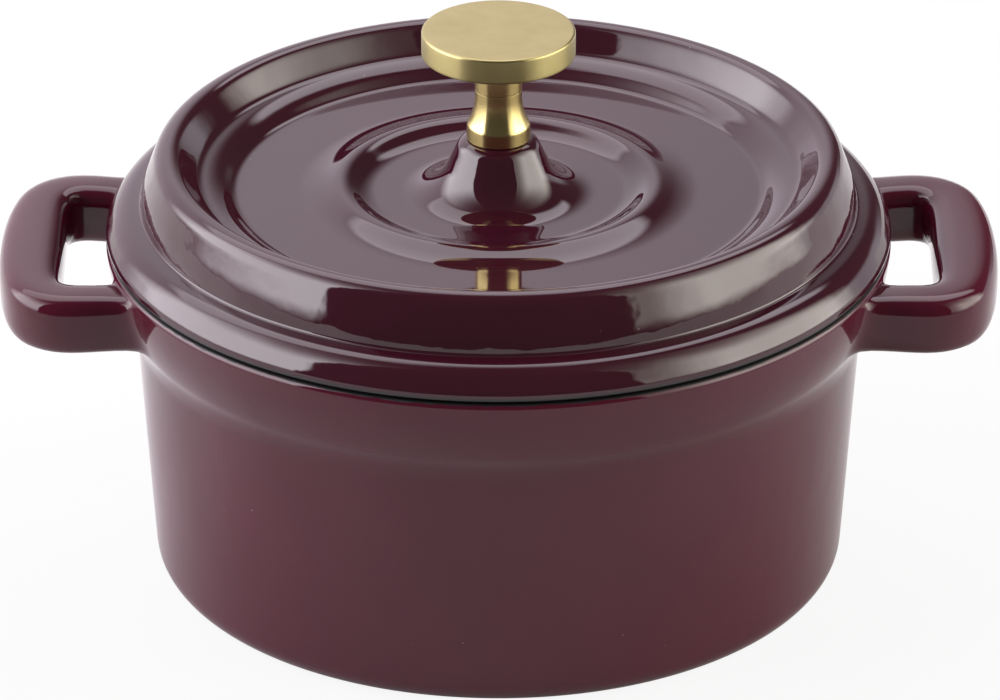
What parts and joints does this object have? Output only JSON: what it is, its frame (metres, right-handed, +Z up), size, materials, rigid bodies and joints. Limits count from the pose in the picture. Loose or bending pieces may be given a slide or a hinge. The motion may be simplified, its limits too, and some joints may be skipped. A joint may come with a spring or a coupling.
{
  "type": "mini cocotte",
  "caption": "Small round enamelled cast-iron cocotte with a flared collar, loop handles, a lift-off lid with raised rings and a brass disc knob.",
  "frame": {"origin": "centre of the pot's flat base, on the surface it stands on", "axes": "+Z up along the pot's axis, +X along the line through both handles, +Y to the back"},
  "size_m": [0.1366, 0.1076, 0.0782],
  "materials": {
    "enamel": "glossy aubergine vitreous enamel on cast iron",
    "polished_brass": "polished turned brass",
    "satin_brass": "satin turned brass",
    "steel": "plain stainless steel"
  },
  "bodies": {
    "pot": {"pot": "enamel"},
    "lid_fixing": {"knob_screw": "steel", "flat_washer": "steel", "lock_washer": "steel"},
    "lid": {"lid": "enamel", "knob_collar": "polished_brass", "knob_head": "satin_brass"}
  },
  "joints": [
    {"name": "lid_lift", "type": "slide", "parent": "pot", "child": "lid_fixing", "axis": [0, 0, 1], "range_m": [0, 0.08]},
    {"name": "lid_turn", "type": "hinge", "parent": "lid_fixing", "child": "lid", "pos_m": [0, 0, 0.0485], "axis": [0, 0, 1], "continuous": true}
  ]
}
